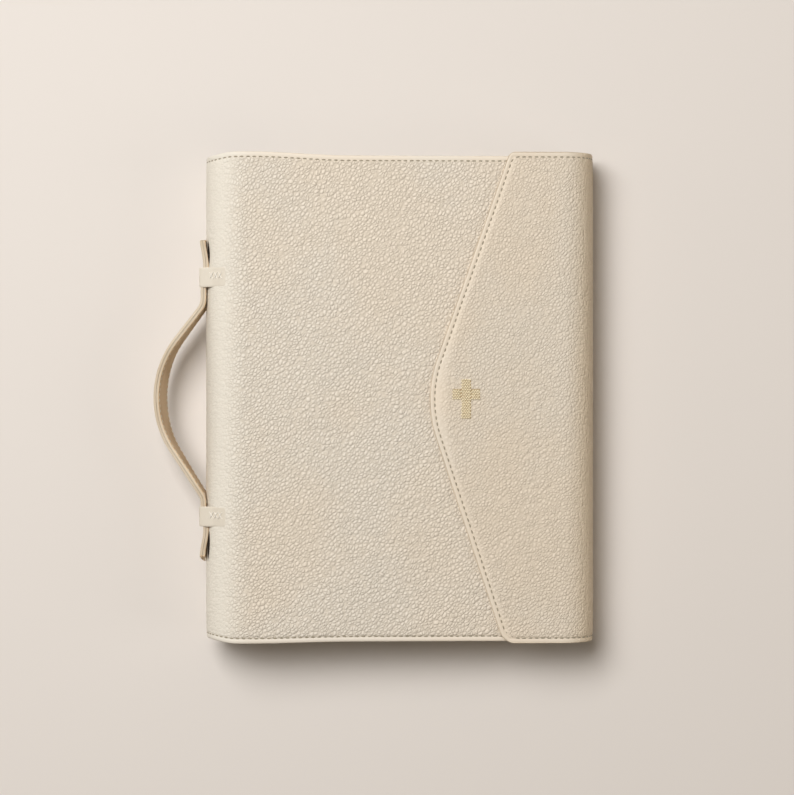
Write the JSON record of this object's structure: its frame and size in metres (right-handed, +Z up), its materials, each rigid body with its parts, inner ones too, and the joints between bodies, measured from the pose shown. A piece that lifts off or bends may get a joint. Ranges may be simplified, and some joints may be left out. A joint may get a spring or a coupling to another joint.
{
  "type": "bible in a leather cover",
  "caption": "Bible in a pebbled cream leather cover with a pointed wrap-over flap, an embroidered cross, a rounded spine and a strap handle held by stitched keepers.",
  "frame": {"origin": "centre of the back cover's resting face, on the table", "axes": "+Z up through the closed book, +Y towards the head of the pages, +X towards the fore edge; the spine and handle are at -X"},
  "size_m": [0.226, 0.25, 0.042],
  "materials": {
    "cover_leather": "pebbled, low sheen",
    "strap_leather": "smooth, satin",
    "strap_tan_leather": "smooth, matt, unlined side",
    "lining_suede": "short nap suede",
    "stiffener_card": "matt grey-brown board",
    "bible_binding": "fine grain, matt",
    "paper": "thin uncoated paper",
    "endpaper": "plain uncoated paper",
    "band_thread": "woven thread",
    "emblem_thread": "satin embroidery thread",
    "magnet": "plated"
  },
  "bodies": {
    "back_cover": {"back_cover_leather": "cover_leather", "back_stiffener": "stiffener_card", "back_lining": "lining_suede", "back_sleeve_pocket": "lining_suede", "spine_leather": "cover_leather", "spine_lining": "lining_suede", "upper_keeper_loop": "strap_leather", "lower_keeper_loop": "strap_leather", "upper_strap_end": "strap_leather", "lower_strap_end": "strap_leather", "bible_back_board": "bible_binding", "bible_spine": "bible_binding", "text_block": "paper", "back_endpaper": "endpaper", "head_band": "band_thread", "tail_band": "band_thread"},
    "front_cover": {"front_cover_leather": "cover_leather", "front_stiffener": "stiffener_card", "front_lining": "lining_suede", "front_sleeve_pocket": "lining_suede", "bible_front_board": "bible_binding", "cover_magnet_upper": "magnet", "cover_magnet_lower": "magnet"},
    "first_leaf_group": {"front_endpaper": "endpaper", "first_leaves": "paper"},
    "second_leaf_group": {"second_leaves": "paper"},
    "third_leaf_group": {"third_leaves": "paper"},
    "gusset": {"fore_edge_gusset": "cover_leather", "gusset_lining": "lining_suede"},
    "flap": {"flap_leather": "cover_leather", "flap_stiffener": "stiffener_card", "flap_lining": "lining_suede", "flap_turn_lining": "lining_suede", "flap_magnet_upper": "magnet", "flap_magnet_lower": "magnet", "cross_emblem": "emblem_thread"},
    "handle": {"handle_strap_outer": "strap_leather", "handle_strap_inner": "strap_tan_leather"}
  },
  "joints": [
    {"name": "front_cover_hinge", "type": "hinge", "parent": "back_cover", "child": "front_cover", "pos_m": [-0.078, 0, 0.0423], "axis": [0, -1, 0], "range_deg": [0, 168]},
    {"name": "first_leaves_turn", "type": "hinge", "parent": "back_cover", "child": "first_leaf_group", "pos_m": [-0.076, 0, 0.042], "axis": [0, -1, 0], "range_deg": [0, 162]},
    {"name": "second_leaves_turn", "type": "hinge", "parent": "back_cover", "child": "second_leaf_group", "pos_m": [-0.076, 0, 0.042], "axis": [0, -1, 0], "range_deg": [0, 155]},
    {"name": "third_leaves_turn", "type": "hinge", "parent": "back_cover", "child": "third_leaf_group", "pos_m": [-0.076, 0, 0.042], "axis": [0, -1, 0], "range_deg": [0, 148]},
    {"name": "gusset_fold", "type": "hinge", "parent": "back_cover", "child": "gusset", "pos_m": [0.0985, 0, 0.0015], "axis": [0, 1, 0], "range_deg": [0, 89]},
    {"name": "flap_fold", "type": "hinge", "parent": "gusset", "child": "flap", "pos_m": [0.09452, 0, 0.03395], "axis": [0, 1, 0], "range_deg": [0, 89]},
    {"name": "handle_swing", "type": "hinge", "parent": "back_cover", "child": "handle", "pos_m": [-0.1015, 0, 0.021], "axis": [0, 1, 0], "range_deg": [-17, 34]}
  ],
  "couplings": [
    {"joint": "first_leaves_turn", "follows": "front_cover_hinge", "ratio": 0.96},
    {"joint": "second_leaves_turn", "follows": "front_cover_hinge", "ratio": 0.92},
    {"joint": "third_leaves_turn", "follows": "front_cover_hinge", "ratio": 0.875},
    {"joint": "flap_fold", "follows": "gusset_fold", "ratio": 1}
  ]
}
